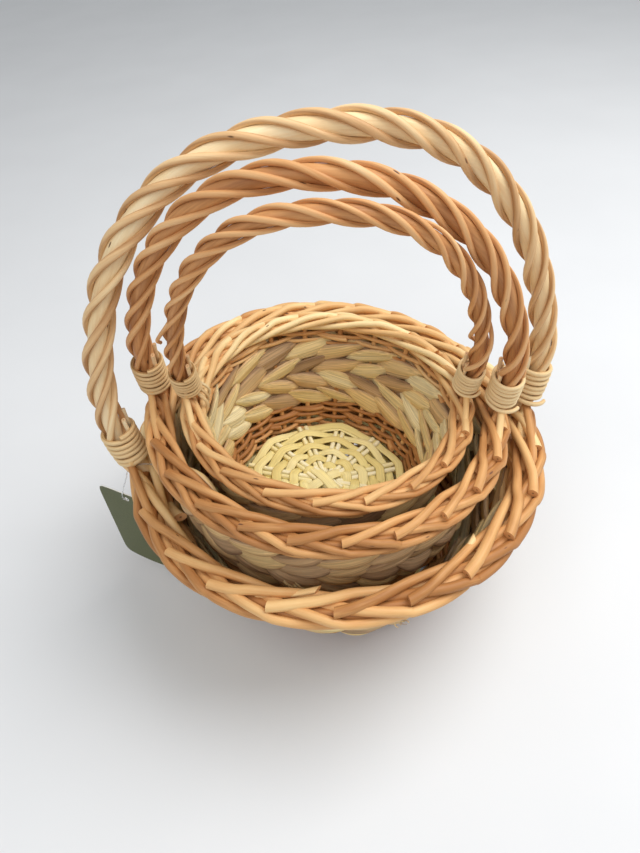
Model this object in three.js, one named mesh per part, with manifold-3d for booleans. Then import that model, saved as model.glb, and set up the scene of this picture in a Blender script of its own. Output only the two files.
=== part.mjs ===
// Nest of three round willow baskets, one inside the other, each with a roped bow handle, and a card tag that
// hangs from the border of the largest. Millimetres, +Z up. The origin is under the middle of the large base,
// +Y runs from front to back, and the handles stand roughly in the XZ plane.
import * as THREE from "three";
import { mergeVertices } from "three/addons/utils/BufferGeometryUtils.js";
import Module from "manifold-3d";

// Driving sizes of each basket. Lengths are in millimetres and angles in degrees.
const LARGE = {
  name: "large",
  height: 148, // ground to the top of the border
  footRadius: 82, // middle of the wall at the ground
  waistHeight: 36, // top of the lower willow band, where the wall bends
  waistRadius: 102.5,
  rimRadius: 148, // middle of the border
  stakes: 22,
  borderWidth: 24,
  borderHeight: 20,
  borderRodThickness: 7.2,
  firstCutEnd: 212.3, // azimuth of one rod's cut end in the border
  stakeThickness: 5.4,
  upperBandHeight: 14.4,
  turn: 5.1, // of the handle, seen from above
  handleBulge: 15, // the bow's widest place beyond the middle of the border
  handleRise: 236, // middle of the border to the middle line at the top
  handleSquareness: 2.42, // 2 is an ellipse, more is squarer
  handleLean: 3, // to the back
  handleSway: 0, // to the right
  bowThickness: 10,
  rodThickness: 4.4,
  rodTurnLength: 112, // length of one full turn of a rod round the bow
  caneThickness: 3.4,
  canePitch: 4.5,
  caneTurns: 6,
  pegThickness: 3.2,
};
const MEDIUM = {
  name: "medium",
  inside: LARGE,
  shift: -12, // to the left
  height: 113,
  footRadius: 98.5,
  waistHeight: 27,
  waistRadius: 107,
  rimRadius: 123.6,
  stakes: 24,
  borderWidth: 21,
  borderHeight: 17,
  borderRodThickness: 6,
  firstCutEnd: 201.6,
  stakeThickness: 5,
  upperBandHeight: 9.4,
  turn: -6.3,
  handleGap: 0.4, // between the rods of this handle and the large one, where they are closest
  handleRise: 194,
  handleSquareness: 2.22,
  handleLean: -10,
  handleSway: -2,
  bowThickness: 8.2,
  rodThickness: 3.8,
  rodTurnLength: 108,
  caneThickness: 3,
  canePitch: 4,
  caneTurns: 6,
  pegThickness: 3,
};
const SMALL = {
  name: "small",
  inside: MEDIUM,
  shift: 0,
  height: 108,
  footRadius: 72,
  waistHeight: 26,
  waistRadius: 81,
  rimRadius: 98.6,
  stakes: 20,
  borderWidth: 18,
  borderHeight: 15,
  borderRodThickness: 5.2,
  firstCutEnd: 191,
  stakeThickness: 4.4,
  upperBandHeight: 9.4,
  turn: -1.7,
  handleGap: 11,
  handleRise: 181,
  handleSquareness: 2.36,
  handleLean: -17,
  handleSway: -2,
  bowThickness: 6.6,
  rodThickness: 3.1,
  rodTurnLength: 88,
  caneThickness: 2.5,
  canePitch: 3.4,
  caneTurns: 6,
  pegThickness: 2.6,
};

// Sizes that the three baskets share.
const SKIN = 2.6; // thickness of a woven band between two stakes
const WEAVE_CLEARANCE = 0.4; // band to stake
const CLEARANCE = 0.3; // between pieces that rest on each other
const BORDER_LIFT = 3.6; // open slit between the border and the band under it
const BORDER_RODS = 5; // that pass through any section of a border
const CUT_END_ANGLE = 32; // of a cut end, round the section from outward by way of up
const BORDER_SECTIONS = [0, 0.5, 0.94]; // from one cut end to the next
const BORDER_DEPTHS = [[0, 0], [2.3, 0], [3, 0.5], [4, 0.2], [4.5, 0.4], [5, 0.9]];
const FURROW_DEPTH = 0.45; // of a rod's thickness
const STAKE_START = 1.2; // the lower end of a stake above the ground
const STICK_THICKNESS = 5.6;
const STICK_FLAT = 0.4; // taken off the underside of the base sticks
const STICK_SPACING = 6;
const STICKS_EACH_WAY = 3;
const SLATH_HALF = 12; // the sticks lie side by side this far from the middle
const FLOOR_THICKNESS = 5.5;
const FLOOR_EYE = 16; // radius of the hole in the floor's weave, over the crossed sticks
const RODS_PER_HANDLE = 4;
const ROD_CLEARANCE = 0.9; // bow to rod
const SOCKET_OVERSHOOT = 2;
const ROD_LIFT = 7; // top of the border to the rods, along the bow
const FOOT_RISE = 80; // the bow has moved out to its full span this high above the border
const BINDING_LIFT = 10; // top of the border to the first turn of cane, along the bow
const BINDING_CLEARANCE = 0.6;
const PEG_SPREAD = 22; // degrees to each side of the handle's inside
const PEG_STANDOUT = 8; // above the last turn of cane
const PEG_STAGGER = 4; // the front peg of each pair ends this much lower
const PEG_STEPS = 2;

// How the baskets sit in each other.
const MEDIUM_TILT = 5; // right side low
const SEAT_GAP = 0.6; // foot of the medium basket to the wall that it rests on

// The card tag and its clear loop.
const TAG_WIDTH = 55;
const TAG_HEIGHT = 88;
const TAG_THICKNESS = 0.8;
const TAG_CORNER = 4;
const TAG_HOLE_RADIUS = 2.2;
const TAG_HOLE_DROP = 6; // below the card's top edge
const TAG_AZIMUTH = 187.5;
const TAG_OUT = 7.6; // hole to the outside of the border
const TAG_DROP = 21; // hole below the middle of the border
const TAG_TURN = -30;
const LOOP_THICKNESS = 1;
const LOOP_ENDS_ANGLE = 4; // each end stops this far from the middle of the inside

// How finely the surfaces are drawn.
const FACETS_PER_STAKE = 2;
const FLOOR_FACETS = 24;
const BOW_STEPS = 32;
const BOW_SIDES = 6;
const ROD_SIDES = 4;
const ROD_STEPS_PER_TURN = 8;
const CANE_SIDES = 4;
const CANE_STEPS_PER_TURN = 12;
const STAKE_SIDES = 4;
const STICK_SIDES = 6;
const LOOP_STEPS = 30;
const LOOP_SIDES = 5;
const HANDLE_LINE_POINTS = 48;

const wasm = await Module();
wasm.setup();

const radians = THREE.MathUtils.degToRad;
const BUFF_WILLOW = { color: 0xdda66b, roughness: 0.55, metalness: 0 };
const BROWN_WILLOW = { color: 0xb97a4a, roughness: 0.5, metalness: 0 };
const PALE_WILLOW = { color: 0xd8b483, roughness: 0.55, metalness: 0 };
const CANE = { color: 0xe2c592, roughness: 0.45, metalness: 0 };
const LEAF = { color: 0xcdb685, roughness: 0.8, metalness: 0 };
const SPLIT = { color: 0xdbd399, roughness: 0.7, metalness: 0 };
const CARD = { color: 0x5e6b45, roughness: 0.7, metalness: 0 };
const NYLON = { color: 0xe8ecec, roughness: 0.2, metalness: 0 };

// A line through points, where equal steps of the parameter go from one point to the next.
class RodLine extends THREE.Curve {
  constructor(points) {
    super();
    this.points = points;
  }
  getPoint(t) {
    const along = t * (this.points.length - 1);
    const index = Math.min(Math.floor(along), this.points.length - 2);
    return this.points[index].clone().lerp(this.points[index + 1], along - index);
  }
  getUtoTmapping(u) {
    return u;
  }
}

function polygon(radius, sides) {
  const corners = [];
  for (let i = 0; i < sides; i++) {
    const angle = (2 * Math.PI * (i + 0.5)) / sides;
    corners.push(new THREE.Vector2(radius * Math.cos(angle), radius * Math.sin(angle)));
  }
  return new THREE.Shape(corners);
}

function rod(points, thickness, sides) {
  return new THREE.ExtrudeGeometry(polygon(thickness / 2, sides), {
    extrudePath: new RodLine(points),
    steps: points.length - 1,
    bevelEnabled: false,
  });
}

// A ring turned about Z from its outline of [radius, height] pairs, which run up the outside.
function turned(outline, facets) {
  const closed = [...outline, outline[0]].map(([radius, height]) => new THREE.Vector2(radius, height));
  return new THREE.LatheGeometry(closed, facets).rotateX(Math.PI / 2);
}

function solidOf(geometry) {
  const bare = geometry.clone();
  bare.deleteAttribute("normal");
  bare.deleteAttribute("uv");
  const merged = mergeVertices(bare, 1e-4);
  return new wasm.Manifold(
    new wasm.Mesh({
      numProp: 3,
      vertProperties: merged.attributes.position.array,
      triVerts: new Uint32Array(merged.index.array),
    }),
  );
}

function geometryOf(solid) {
  const { vertProperties, triVerts } = solid.getMesh();
  const geometry = new THREE.BufferGeometry();
  geometry.setAttribute("position", new THREE.BufferAttribute(vertProperties, 3));
  geometry.setIndex(new THREE.BufferAttribute(triVerts, 1));
  geometry.computeVertexNormals();
  return geometry;
}

function joined(geometries) {
  return geometries.map(solidOf).reduce((whole, next) => whole.add(next));
}

function mesh(name, geometry, finish) {
  const made = new THREE.Mesh(geometry, new THREE.MeshStandardMaterial(finish));
  made.name = name;
  return made;
}

function polar(radius, degrees, height) {
  const angle = radians(degrees);
  return new THREE.Vector3(radius * Math.cos(angle), radius * Math.sin(angle), height);
}

// The wall: its middle line runs from foot to waist to border. Distances across it are measured level.
const borderMiddle = (basket) => basket.height - basket.borderHeight / 2;
const floorTop = () => STICK_THICKNESS - STICK_FLAT + CLEARANCE + FLOOR_THICKNESS;

function stakeReach(basket) {
  const slope = (basket.waistRadius - basket.footRadius) / basket.waistHeight;
  return (basket.stakeThickness / 2 + WEAVE_CLEARANCE) * Math.hypot(1, slope);
}

const halfWall = (basket) => stakeReach(basket) + SKIN;

function wallRadius(basket, height) {
  if (height < basket.waistHeight) {
    const share = height / basket.waistHeight;
    return THREE.MathUtils.lerp(basket.footRadius, basket.waistRadius, share);
  }
  const share = (height - basket.waistHeight) / (borderMiddle(basket) - basket.waistHeight);
  return THREE.MathUtils.lerp(basket.waistRadius, basket.rimRadius, share);
}

// The height at which the inside of the wall has opened to a radius.
function heightWhereWallOpensTo(basket, radius) {
  const middle = radius + halfWall(basket);
  if (middle < basket.waistRadius) {
    const share = (middle - basket.footRadius) / (basket.waistRadius - basket.footRadius);
    return share * basket.waistHeight;
  }
  const share = (middle - basket.waistRadius) / (basket.rimRadius - basket.waistRadius);
  return THREE.MathUtils.lerp(basket.waistHeight, borderMiddle(basket), share);
}

// A woven band passes outside one stake and inside the next. Its side is +1 or -1, so that neighbouring bands
// pass the same stake on opposite sides.
function band(basket, bottom, top, side) {
  const outline = [
    [wallRadius(basket, bottom) + SKIN / 2, bottom],
    [wallRadius(basket, top) + SKIN / 2, top],
    [wallRadius(basket, top) - SKIN / 2, top],
    [wallRadius(basket, bottom) - SKIN / 2, bottom],
  ];
  const ring = turned(outline, FACETS_PER_STAKE * basket.stakes);
  const swing = side * (stakeReach(basket) + SKIN / 2);
  const places = ring.getAttribute("position");
  const place = new THREE.Vector3();
  for (let i = 0; i < places.count; i++) {
    place.fromBufferAttribute(places, i);
    const angle = Math.atan2(place.y, place.x);
    const radius = Math.hypot(place.x, place.y);
    const waved = radius + swing * Math.sin((basket.stakes / 2) * angle);
    places.setXY(i, (place.x * waved) / radius, (place.y * waved) / radius);
  }
  return ring;
}

function stake(basket, number) {
  const azimuth = ((number + 0.5) * 360) / basket.stakes;
  const heights = [STAKE_START, basket.waistHeight, borderMiddle(basket)];
  const line = heights.map((height) => polar(wallRadius(basket, height), azimuth, height));
  return rod(line, basket.stakeThickness, STAKE_SIDES);
}

// How deep a rod lies in the border, as a share of its thickness, a number of stakes after its cut end. The last
// depth is that of the outer rod which passes below the next cut end.
function rodDepth(stakesAlong) {
  const next = BORDER_DEPTHS.findIndex(([along]) => along > stakesAlong);
  const [[before, shallow], [after, deep]] = BORDER_DEPTHS.slice(next - 1, next + 1);
  return THREE.MathUtils.mapLinear(stakesAlong, before, after, shallow, deep);
}

// One section of the border, part of the way from one cut end to the next: a ridge and a furrow for each rod.
function borderSection(basket, number, part) {
  const azimuth = basket.firstCutEnd + ((number + part) * 360) / basket.stakes;
  const places = [];
  for (let rod = 0; rod < BORDER_RODS; rod++) {
    for (const [aside, depth] of [[0, rodDepth(rod + part)], [0.5, FURROW_DEPTH]]) {
      const around = radians(CUT_END_ANGLE + ((rod + part + aside) * 360) / BORDER_RODS);
      const sunk = depth * basket.borderRodThickness;
      const radius = basket.rimRadius + (basket.borderWidth / 2 - sunk) * Math.cos(around);
      const height = borderMiddle(basket) + (basket.borderHeight / 2 - sunk) * Math.sin(around);
      places.push(polar(radius, azimuth, height));
    }
  }
  return places;
}

// The border is a ring of slanting rods. Each starts at a cut end outside, crosses the top and dives inside, and
// from one stake to the next it takes the place of the rod before it.
function border(basket) {
  const sections = [];
  for (let number = 0; number < basket.stakes; number++) {
    for (const part of BORDER_SECTIONS) sections.push(borderSection(basket, number, part));
  }
  const size = 2 * BORDER_RODS;
  const corners = [];
  sections.forEach((here, index) => {
    const nextIndex = (index + 1) % sections.length;
    const next = sections[nextIndex];
    const moved = nextIndex % BORDER_SECTIONS.length === 0 ? 2 : 0;
    for (let i = 0; i < size; i++) {
      const [a, b] = [here[i], here[(i + 1) % size]];
      const [c, d] = [next[(i + 1 + moved) % size], next[(i + moved) % size]];
      corners.push(a, d, c, a, c, b);
    }
  });
  return new THREE.BufferGeometry().setFromPoints(corners);
}

// The stakes and the border that their tops are turned down into, with a socket for each foot of the bow.
function stakeFrame(basket, bow) {
  const stakes = Array.from({ length: basket.stakes }, (_, number) => stake(basket, number));
  const frame = joined([border(basket), ...stakes]);
  const socket = bowGeometry(bow, basket.bowThickness + 2 * CLEARANCE, SOCKET_OVERSHOOT);
  return geometryOf(frame.subtract(solidOf(socket)));
}

// Sticks that cross in the middle and fan out, cut flat underneath.
function baseSticks(basket) {
  const reach = wallRadius(basket, 0) - halfWall(basket) - CLEARANCE;
  const middle = STICK_THICKNESS / 2 - STICK_FLAT;
  const fan = 360 / (4 * STICKS_EACH_WAY);
  const sticks = [];
  for (const way of [0, 90]) {
    for (let i = 0; i < STICKS_EACH_WAY; i++) {
      const place = i - (STICKS_EACH_WAY - 1) / 2;
      const line = [
        polar(reach, 180 - place * fan, middle),
        new THREE.Vector3(-SLATH_HALF, place * STICK_SPACING, middle),
        new THREE.Vector3(SLATH_HALF, place * STICK_SPACING, middle),
        polar(reach, place * fan, middle),
      ];
      sticks.push(rod(line, STICK_THICKNESS, STICK_SIDES).rotateZ(radians(way)));
    }
  }
  const under = new THREE.BoxGeometry(2 * reach, 2 * reach, STICK_THICKNESS);
  under.translate(0, 0, -STICK_THICKNESS / 2);
  return geometryOf(joined(sticks).subtract(solidOf(under)));
}

function floorWeave(basket) {
  const bottom = STICK_THICKNESS - STICK_FLAT + CLEARANCE;
  const edge = wallRadius(basket, bottom) - halfWall(basket) - CLEARANCE;
  const outline = [
    [edge, bottom],
    [edge, floorTop()],
    [FLOOR_EYE, floorTop()],
    [FLOOR_EYE, bottom],
  ];
  return turned(outline, FLOOR_FACETS);
}

// The bow with the rods round it.
const bundleRadius = (basket) => basket.bowThickness / 2 + ROD_CLEARANCE + basket.rodThickness;

// An inner handle is as wide as the rods of the next larger one, its own rods and the gap between them leave.
function handleHalfSpan(basket) {
  if (!basket.inside) return basket.rimRadius + basket.handleBulge;
  const room = handleHalfSpan(basket.inside) - bundleRadius(basket.inside) - Math.abs(basket.shift);
  return room - basket.handleGap - bundleRadius(basket);
}

// A point of the bow's middle line, which moves in towards the border at each foot.
function bowPoint(basket, side, span, rise) {
  const drawnIn = (handleHalfSpan(basket) - basket.rimRadius) * Math.max(1 - rise / FOOT_RISE, 0) ** 2;
  return new THREE.Vector3(side * (span - drawnIn), 0, rise);
}

// The bow's middle line, from the underside of the border on the right to the same place on the left.
function bowLine(basket) {
  const foot = (side) => bowPoint(basket, side, handleHalfSpan(basket), -basket.borderHeight / 2);
  const points = [foot(1)];
  for (let i = 0; i <= HANDLE_LINE_POINTS; i++) {
    const angle = (Math.PI * i) / HANDLE_LINE_POINTS;
    const power = 2 / basket.handleSquareness;
    const rise = basket.handleRise * Math.abs(Math.sin(angle)) ** power;
    const span = handleHalfSpan(basket) * Math.abs(Math.cos(angle)) ** power;
    points.push(bowPoint(basket, Math.sign(Math.cos(angle)), span, rise));
  }
  points.push(foot(-1));
  const right = new THREE.Vector3(1, 0, 0);
  const lean = radians(basket.handleLean);
  const up = new THREE.Vector3(Math.sin(radians(basket.handleSway)), Math.sin(lean), Math.cos(lean));
  const across = new THREE.Vector3().crossVectors(up, right).normalize();
  const pose = new THREE.Matrix4().makeBasis(right, across, up).setPosition(0, 0, borderMiddle(basket));
  const line = new THREE.CatmullRomCurve3(points.map((point) => point.applyMatrix4(pose)));
  line.arcLengthDivisions = 1200;
  return { line, across, length: line.getLength() };
}

// The place and directions at a distance along the bow: inward points to the inside of the arch.
function alongBow(bow, distance) {
  const share = THREE.MathUtils.clamp(distance / bow.length, 0, 1);
  const place = bow.line.getPointAt(share);
  const forward = bow.line.getTangentAt(share);
  const inward = new THREE.Vector3().crossVectors(forward, bow.across).normalize();
  return { place, inward, across: bow.across };
}

// The point at a distance from the bow's middle line, in the direction of an angle from its inward side.
function besideBow(bow, distance, radius, angle, shift = 0) {
  const { place, inward, across } = alongBow(bow, distance);
  return place
    .addScaledVector(inward, radius * Math.cos(angle) + shift)
    .addScaledVector(across, radius * Math.sin(angle));
}

// The bow, or the room for it when it is made thicker and runs past its own ends.
function bowGeometry(bow, thickness, overshoot = 0) {
  const points = [];
  for (let i = 0; i <= BOW_STEPS; i++) points.push(alongBow(bow, (bow.length * i) / BOW_STEPS).place);
  const [first, second] = points;
  const [beforeLast, last] = points.slice(-2);
  first.add(first.clone().sub(second).setLength(overshoot));
  last.add(last.clone().sub(beforeLast).setLength(overshoot));
  return rod(points, thickness, BOW_SIDES);
}

// One of the rods that wind round the bow as a right-handed rope, from border to border.
function handleRod(basket, bow, number) {
  const start = basket.borderHeight + ROD_LIFT;
  const run = bow.length - 2 * start;
  const steps = Math.round((run / basket.rodTurnLength) * ROD_STEPS_PER_TURN);
  const radius = bundleRadius(basket) - basket.rodThickness / 2;
  const points = [];
  for (let i = 0; i <= steps; i++) {
    const distance = (run * i) / steps;
    const angle = 2 * Math.PI * (number / RODS_PER_HANDLE - distance / basket.rodTurnLength);
    points.push(besideBow(bow, start + distance, radius, angle));
  }
  return rod(points, basket.rodThickness, ROD_SIDES);
}

// The cane winds round the roped bow and the pegs beside it, so its middle is moved towards the pegs.
function bindingShape(basket) {
  const shift = (basket.pegThickness + CLEARANCE) / 2;
  const radius = bundleRadius(basket) + shift + BINDING_CLEARANCE + basket.caneThickness / 2;
  const start = basket.borderHeight + BINDING_LIFT;
  return { shift, radius, start, run: basket.canePitch * basket.caneTurns };
}

function bindingLine(basket, bow, end) {
  const { shift, radius, start, run } = bindingShape(basket);
  const steps = basket.caneTurns * CANE_STEPS_PER_TURN;
  const points = [];
  for (let i = 0; i <= steps; i++) {
    const share = i / steps;
    const climbed = start + run * share;
    const distance = end > 0 ? climbed : bow.length - climbed;
    const angle = end * 2 * Math.PI * basket.caneTurns * share;
    points.push(besideBow(bow, distance, radius, angle, shift));
  }
  return points;
}

// The least gap between the surfaces of one turn of the cane and the next.
function leastGap(points, thickness) {
  let least = Infinity;
  for (let i = 0; i < points.length; i++) {
    for (let j = i + Math.round(CANE_STEPS_PER_TURN / 2); j < points.length; j++) {
      least = Math.min(least, points[i].distanceTo(points[j]));
    }
  }
  return least - thickness;
}

// A peg is the cut end of a stake that stands beside the bow and is bound to it.
function peg(basket, bow, end, side) {
  const { start, run } = bindingShape(basket);
  const radius = bundleRadius(basket) + BINDING_CLEARANCE / 2 + basket.pegThickness / 2;
  const standout = side > 0 ? PEG_STANDOUT : PEG_STANDOUT - PEG_STAGGER;
  const points = [];
  for (let i = 0; i <= PEG_STEPS; i++) {
    const climbed = start + ((run + standout) * i) / PEG_STEPS;
    const distance = end > 0 ? climbed : bow.length - climbed;
    points.push(besideBow(bow, distance, radius, side * radians(PEG_SPREAD)));
  }
  return rod(points, basket.pegThickness, BOW_SIDES);
}

function basketGroup(basket, willow) {
  const bow = bowLine(basket);
  const bandTop = basket.height - basket.borderHeight - BORDER_LIFT;
  const leafTop = bandTop - basket.upperBandHeight;
  const group = new THREE.Group();
  const add = (piece, geometry, finish) => group.add(mesh(`${basket.name}_${piece}`, geometry, finish));
  add("base_sticks", baseSticks(basket), SPLIT);
  add("base_weave", floorWeave(basket), SPLIT);
  add("stake_frame", stakeFrame(basket, bow), BUFF_WILLOW);
  add("lower_willow_band", band(basket, 0, basket.waistHeight - CLEARANCE, 1), BUFF_WILLOW);
  add("leaf_band", band(basket, basket.waistHeight, leafTop - CLEARANCE, -1), LEAF);
  add("upper_willow_band", band(basket, leafTop, bandTop, 1), BUFF_WILLOW);
  add("handle_bow", bowGeometry(bow, basket.bowThickness), willow);
  for (let number = 0; number < RODS_PER_HANDLE; number++) {
    add(`handle_rod_${number + 1}`, handleRod(basket, bow, number), willow);
  }
  for (const [sideName, end] of [["right", 1], ["left", -1]]) {
    const cane = bindingLine(basket, bow, end);
    console.log(`${basket.name} ${sideName} binding: least gap ${leastGap(cane, basket.caneThickness).toFixed(2)} mm`);
    add(`binding_${sideName}`, rod(cane, basket.caneThickness, CANE_SIDES), CANE);
    add(`peg_${sideName}_back`, peg(basket, bow, end, 1), willow);
    add(`peg_${sideName}_front`, peg(basket, bow, end, -1), willow);
  }
  group.rotation.z = radians(basket.turn);
  return group;
}

// The lowest height at which the foot of the inner basket, tilted and moved aside, clears the outer one's wall.
function seatHeight(outer, inner, tilt, shift) {
  const footRadius = inner.footRadius + halfWall(inner);
  let seat = 0;
  for (let degrees = 0; degrees < 360; degrees += 5) {
    const foot = polar(footRadius, degrees, 0).applyAxisAngle(new THREE.Vector3(0, 1, 0), radians(tilt));
    const reach = Math.hypot(foot.x + shift, foot.y) + SEAT_GAP;
    seat = Math.max(seat, heightWhereWallOpensTo(outer, reach) - foot.z);
  }
  return seat;
}

function tagCard() {
  const half = TAG_WIDTH / 2;
  const top = TAG_HOLE_DROP;
  const bottom = TAG_HOLE_DROP - TAG_HEIGHT;
  const card = new THREE.Shape();
  card.moveTo(-half + TAG_CORNER, bottom);
  card.lineTo(half - TAG_CORNER, bottom);
  card.quadraticCurveTo(half, bottom, half, bottom + TAG_CORNER);
  card.lineTo(half, top - TAG_CORNER);
  card.quadraticCurveTo(half, top, half - TAG_CORNER, top);
  card.lineTo(-half + TAG_CORNER, top);
  card.quadraticCurveTo(-half, top, -half, top - TAG_CORNER);
  card.lineTo(-half, bottom + TAG_CORNER);
  card.quadraticCurveTo(-half, bottom, -half + TAG_CORNER, bottom);
  card.holes.push(new THREE.Path().absarc(0, 0, TAG_HOLE_RADIUS, 0, 2 * Math.PI));
  const flat = new THREE.ExtrudeGeometry(card, { depth: TAG_THICKNESS, bevelEnabled: false, curveSegments: 4 });
  return flat.translate(0, 0, -TAG_THICKNESS / 2).rotateX(Math.PI / 2).rotateZ(radians(TAG_TURN));
}

// The loop goes round the border and through the card's hole, so that it can turn about the border. It is drawn
// in the upright plane through the basket's axis, as distances outward and up from the middle of the border.
function tagLoop(basket) {
  const radius = basket.borderWidth / 2 + CLEARANCE + LOOP_THICKNESS / 2;
  const around = (degrees) => [radius * Math.cos(radians(degrees)), radius * Math.sin(radians(degrees))];
  const hole = basket.borderWidth / 2 + TAG_OUT;
  const strand = TAG_THICKNESS + LOOP_THICKNESS + CLEARANCE;
  const ends = 180 - LOOP_ENDS_ANGLE;
  const outline = [
    ...[-ends, -150, -120, -95, -75].map(around),
    [hole - strand, -TAG_DROP],
    [hole, -TAG_DROP - TAG_HOLE_RADIUS / 3],
    [hole + strand, -TAG_DROP],
    [hole + strand, -TAG_DROP + TAG_HOLE_DROP],
    ...[10, 35, 65, 95, 125, 152, ends].map(around),
  ];
  const line = new THREE.CatmullRomCurve3(outline.map(([out, up]) => new THREE.Vector3(out, 0, up)));
  const loop = rod(line.getSpacedPoints(LOOP_STEPS), LOOP_THICKNESS, LOOP_SIDES);
  return loop.translate(basket.rimRadius, 0, borderMiddle(basket)).rotateZ(radians(TAG_AZIMUTH));
}

const nest = new THREE.Group();
nest.add(basketGroup(LARGE, PALE_WILLOW));

const innerNest = new THREE.Group();
innerNest.position.set(MEDIUM.shift, 0, seatHeight(LARGE, MEDIUM, MEDIUM_TILT, MEDIUM.shift));
innerNest.rotation.y = radians(MEDIUM_TILT);
innerNest.add(basketGroup(MEDIUM, BROWN_WILLOW));
const smallBasket = basketGroup(SMALL, BROWN_WILLOW);
smallBasket.position.set(SMALL.shift, 0, floorTop() + CLEARANCE);
innerNest.add(smallBasket);
nest.add(innerNest);

const card = mesh("tag_card", tagCard(), CARD);
card.position.copy(
  polar(LARGE.rimRadius + LARGE.borderWidth / 2 + TAG_OUT, TAG_AZIMUTH, borderMiddle(LARGE) - TAG_DROP),
);
nest.add(card);
nest.add(mesh("tag_loop", tagLoop(LARGE), NYLON));

export default nest;
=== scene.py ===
# %% [markdown]
# A nest of three willow baskets
#
# Three round willow baskets stand one in the other. Each has a floor of flat splits, a wall of three
# woven bands, a border of bent rods, and a roped bow handle tied on with cane. A card tag hangs from
# the largest one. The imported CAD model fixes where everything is. The cells below give each piece the
# look of real basketry, roughly in the order in which a basket maker works.

import math
from types import SimpleNamespace

import bpy
import numpy as np
from mathutils import Matrix


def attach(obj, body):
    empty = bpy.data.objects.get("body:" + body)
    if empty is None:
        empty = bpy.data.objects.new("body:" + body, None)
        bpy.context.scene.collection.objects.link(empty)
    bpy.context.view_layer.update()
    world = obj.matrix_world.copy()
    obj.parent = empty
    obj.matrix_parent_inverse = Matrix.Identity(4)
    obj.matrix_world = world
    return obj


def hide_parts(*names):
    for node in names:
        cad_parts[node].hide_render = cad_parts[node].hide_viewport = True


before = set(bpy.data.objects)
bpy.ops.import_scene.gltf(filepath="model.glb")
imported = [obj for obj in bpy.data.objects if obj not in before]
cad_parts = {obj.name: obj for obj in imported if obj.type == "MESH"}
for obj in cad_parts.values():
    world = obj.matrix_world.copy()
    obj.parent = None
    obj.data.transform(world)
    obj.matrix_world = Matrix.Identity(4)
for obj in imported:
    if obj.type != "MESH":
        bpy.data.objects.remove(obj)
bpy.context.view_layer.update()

# %% [markdown]
# Sizes
#
# The baskets are alike, so one table serves for all three: each row gives a size of the large, the
# medium and the small one. Sizes are in millimetres and angles in degrees, and they repeat the CAD
# model's. From leaf_rows on, the rows follow the photograph more closely: how many rows and rings are
# woven, how full, long and dark their strands are, and what the handle is made of. Scene units are
# metres, so a mesh is scaled once, when it is made.

# %% Sizes of the three baskets
MM = 0.001

SIZES = dict(
    name=("large", "medium", "small"),
    turn=(5.1, -6.3, -1.7),
    stakes=(22, 24, 20),
    height=(148, 113, 108),
    foot_radius=(82, 98.5, 72),
    waist_height=(36, 27, 26),
    waist_radius=(102.5, 107, 81),
    rim_radius=(148, 123.6, 98.6),
    border_width=(24, 21, 18),
    border_height=(20, 17, 15),
    border_rod=(7.2, 6.0, 5.2),
    stake=(5.4, 5, 4.4),
    leaf_top=(110, 83, 80),
    first_end=(212.3, 201.6, 191),
    half_span=(163, 131.5, 104.4),
    rise=(236, 194, 181),
    squareness=(2.42, 2.22, 2.36),
    lean=(3, -10, -17),
    sway=(0, -2, -2),
    bow=(10, 8.2, 6.6),
    rod=(4.4, 3.8, 3.1),
    lay=(112, 108, 88),
    cane=(3.4, 3, 2.5),
    cane_pitch=(4.5, 4, 3.4),
    peg=(3.2, 3, 2.6),
    leaf_rows=(5, 4, 4),
    lower_rows=(7, 6, 8),
    floor_rings=(9, 10, 7),
    packing=(0.74, 0.72, 0.66),
    reach=(0.86, 0.84, 0.9),
    parting=(0, 2.4, 3.2),
    rod_shade=(0.04, 0.16, -0.12),
    # Outer leaf darkness: partly the leaf's own grey-brown, partly painted shade in the gap between baskets.
    leaf_shade=(0.1, 0.42, 0.2),
    leaf_spread=(0.9, 0.45, 0.9),
    handle_willow=("pale_willow", "brown_willow", "brown_willow"),
    core_tone=(0.15, 0.75, 0.75),
    rod_tones=((0.1, 0.75), (0.0, 0.65), (0.0, 0.65)),
)
BASKETS = [SimpleNamespace(**{key: row[i] for key, row in SIZES.items()}) for i in range(3)]
large, medium, small = BASKETS

for basket in BASKETS:
    basket.spacing = 360 / basket.stakes  # in degrees
    basket.middle = basket.height - basket.border_height / 2  # of the border
    print(f"{basket.name}: {2 * basket.rim_radius + basket.border_width:.0f} mm across the border")

# %% [markdown]
# Where each basket stands
#
# The medium basket has sunk into the flare of the large one until its foot touched the wall, a little
# low on the right. The small one stands on the medium one's floor. A 4 by 4 matrix holds each place.

# %% Places
NEST_HEIGHT = 71.784
NEST_SHIFT = -12
NEST_TILT = 5
FLOOR_TOP = 11
PIECE_CLEARANCE = 0.3


def shifted(x, y, z):
    matrix = np.eye(4)
    matrix[:3, 3] = (x, y, z)
    return matrix


def turned(axis, degrees):
    """A turn about x, y or z, as a 4 by 4 matrix."""
    cosine, sine = math.cos(math.radians(degrees)), math.sin(math.radians(degrees))
    first, second = [(1, 2), (2, 0), (0, 1)]["xyz".index(axis)]
    matrix = np.eye(4)
    matrix[first, first] = matrix[second, second] = cosine
    matrix[first, second], matrix[second, first] = -sine, sine
    return matrix


nest = shifted(NEST_SHIFT, 0, NEST_HEIGHT) @ turned("y", NEST_TILT)
large.place = turned("z", large.turn)
medium.place = nest @ turned("z", medium.turn)
small.place = nest @ shifted(0, 0, FLOOR_TOP + PIECE_CLEARANCE) @ turned("z", small.turn)
print("feet at", [np.round(basket.place[:3, 3], 1).tolist() for basket in BASKETS], "mm")

# %% [markdown]
# The camera
#
# The photograph was taken by someone standing in front of the baskets and looking down at them with a
# phone, hence the wide angle and the slight roll. A camera without turns looks straight down, so it is
# turned up by what the pitch leaves of 90 degrees, and rolled. It comes first, so that every later cell
# can be judged in the photograph's own frame.

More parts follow.
